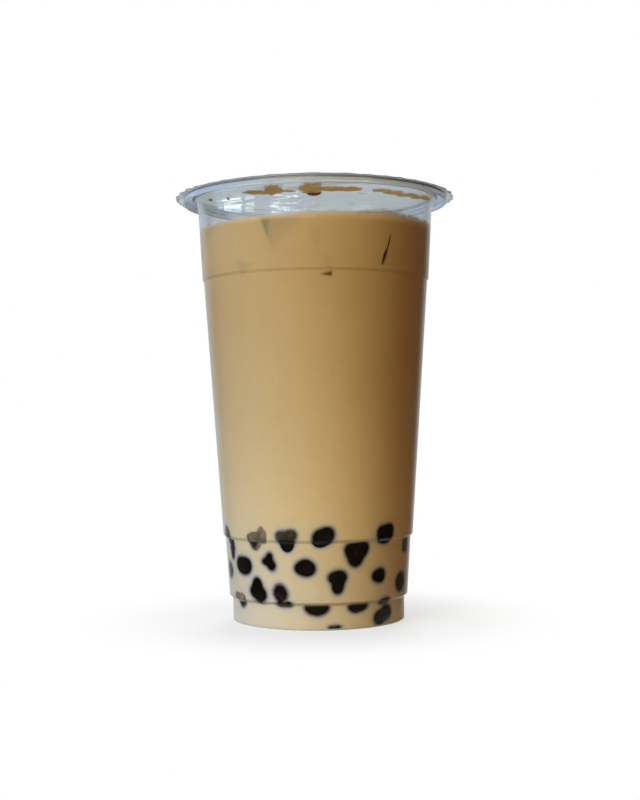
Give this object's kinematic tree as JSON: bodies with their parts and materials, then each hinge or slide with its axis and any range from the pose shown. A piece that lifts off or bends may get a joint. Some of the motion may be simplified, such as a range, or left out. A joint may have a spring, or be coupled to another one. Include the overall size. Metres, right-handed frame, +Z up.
{
  "type": "bubble tea",
  "caption": "Tall tapered clear cup with a stepped foot, shallow ledges and a rolled lip, sealed with clear film and filled with milk tea over a bed of dark tapioca pearls.",
  "frame": {"origin": "centre of the cup's foot, on the surface that it stands on", "axes": "+Z up along the cup's axis, from the foot to the sealed lip; -Y towards the side that the picture shows, where the blob of tea hangs under the film; +X to that view's right"},
  "size_m": [0.1006, 0.1006, 0.1524],
  "materials": {
    "clear_plastic": "clear glossy moulded plastic",
    "clear_film": "clear glossy heat-sealed film",
    "milk_tea": "opaque milky liquid",
    "tapioca": "smooth dark gel"
  },
  "bodies": {
    "root": {"cup": "clear_plastic", "seal_film": "clear_film", "milk_tea": "milk_tea", "pearl_bed": "tapioca"}
  },
  "joints": []
}
